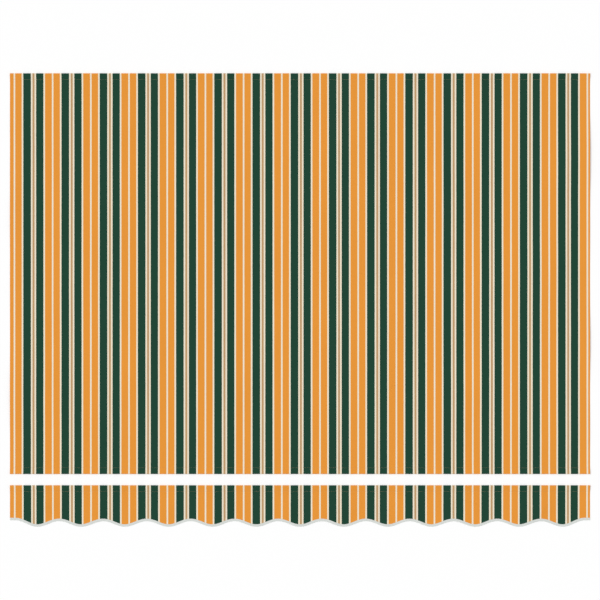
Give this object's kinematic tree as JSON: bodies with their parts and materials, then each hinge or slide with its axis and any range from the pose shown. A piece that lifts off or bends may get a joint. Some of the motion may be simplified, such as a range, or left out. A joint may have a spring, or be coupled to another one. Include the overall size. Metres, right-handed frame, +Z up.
{
  "type": "fabric awning cloth set",
  "caption": "Striped awning cloth lying flat: a canopy with a rod in the tunnel hem at each end, and a separate valance with a rod hem and a tape-bound scalloped edge.",
  "frame": {"origin": "middle of the set's footprint, on the floor that it lies on", "axes": "+X along the awning's width, +Y from the valance towards the canopy's roller-tube edge, +Z up, out of the cloth's face"},
  "size_m": [2.9, 2.2665, 0.0066],
  "materials": {
    "striped_cloth": "matte",
    "binding_tape": "matte",
    "rod_plastic": "satin",
    "sewing_thread": "satin"
  },
  "bodies": {
    "root": {"canopy_cloth": "striped_cloth", "roller_edge_rod": "rod_plastic", "front_edge_rod": "rod_plastic", "valance_cloth": "striped_cloth", "valance_rod": "rod_plastic", "valance_binding": "binding_tape"}
  },
  "joints": []
}
